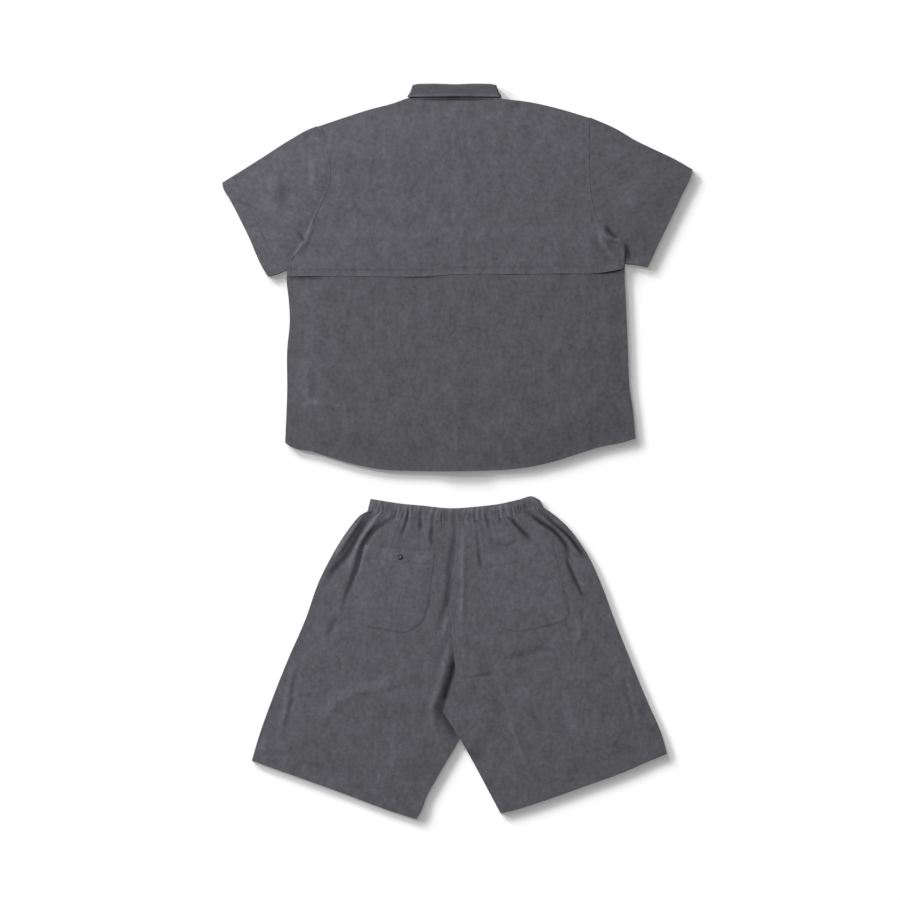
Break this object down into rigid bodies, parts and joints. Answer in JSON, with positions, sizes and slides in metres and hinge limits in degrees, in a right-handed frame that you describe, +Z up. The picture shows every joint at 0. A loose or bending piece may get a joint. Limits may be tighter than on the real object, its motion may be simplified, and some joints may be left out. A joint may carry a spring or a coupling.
{
  "type": "denim shirt and shorts set",
  "caption": "Short-sleeved denim shirt with a caped back and wide elastic-waist denim shorts, laid flat face down.",
  "frame": {"origin": "on the surface that the set lies on, below the middle of its bounding box", "axes": "+Z up off the surface, +Y from the hems of the shorts to the shirt's collar, +X across to the right as seen from above; both garments lie face down"},
  "size_m": [0.9183, 1.4335, 0.0098],
  "materials": {
    "denim": "heathered grey chambray denim, matt, with slubs",
    "button": "dark grey, satin, four holes"
  },
  "bodies": {
    "root": {"shirt_back_cape": "denim", "shirt_back_lower": "denim", "shirt_front_left": "denim", "shirt_front_right": "denim", "shirt_sleeve_left": "denim", "shirt_sleeve_right": "denim", "collar_stand": "denim", "collar_fall": "denim", "front_button_1": "button", "front_button_2": "button", "front_button_3": "button", "front_button_4": "button", "front_button_5": "button", "front_button_6": "button", "shorts_waistband": "denim", "shorts_back_left": "denim", "shorts_back_right": "denim", "shorts_front_left": "denim", "shorts_front_right": "denim", "shorts_pocket_left": "denim", "shorts_pocket_right": "denim", "pocket_button": "button"}
  },
  "joints": []
}
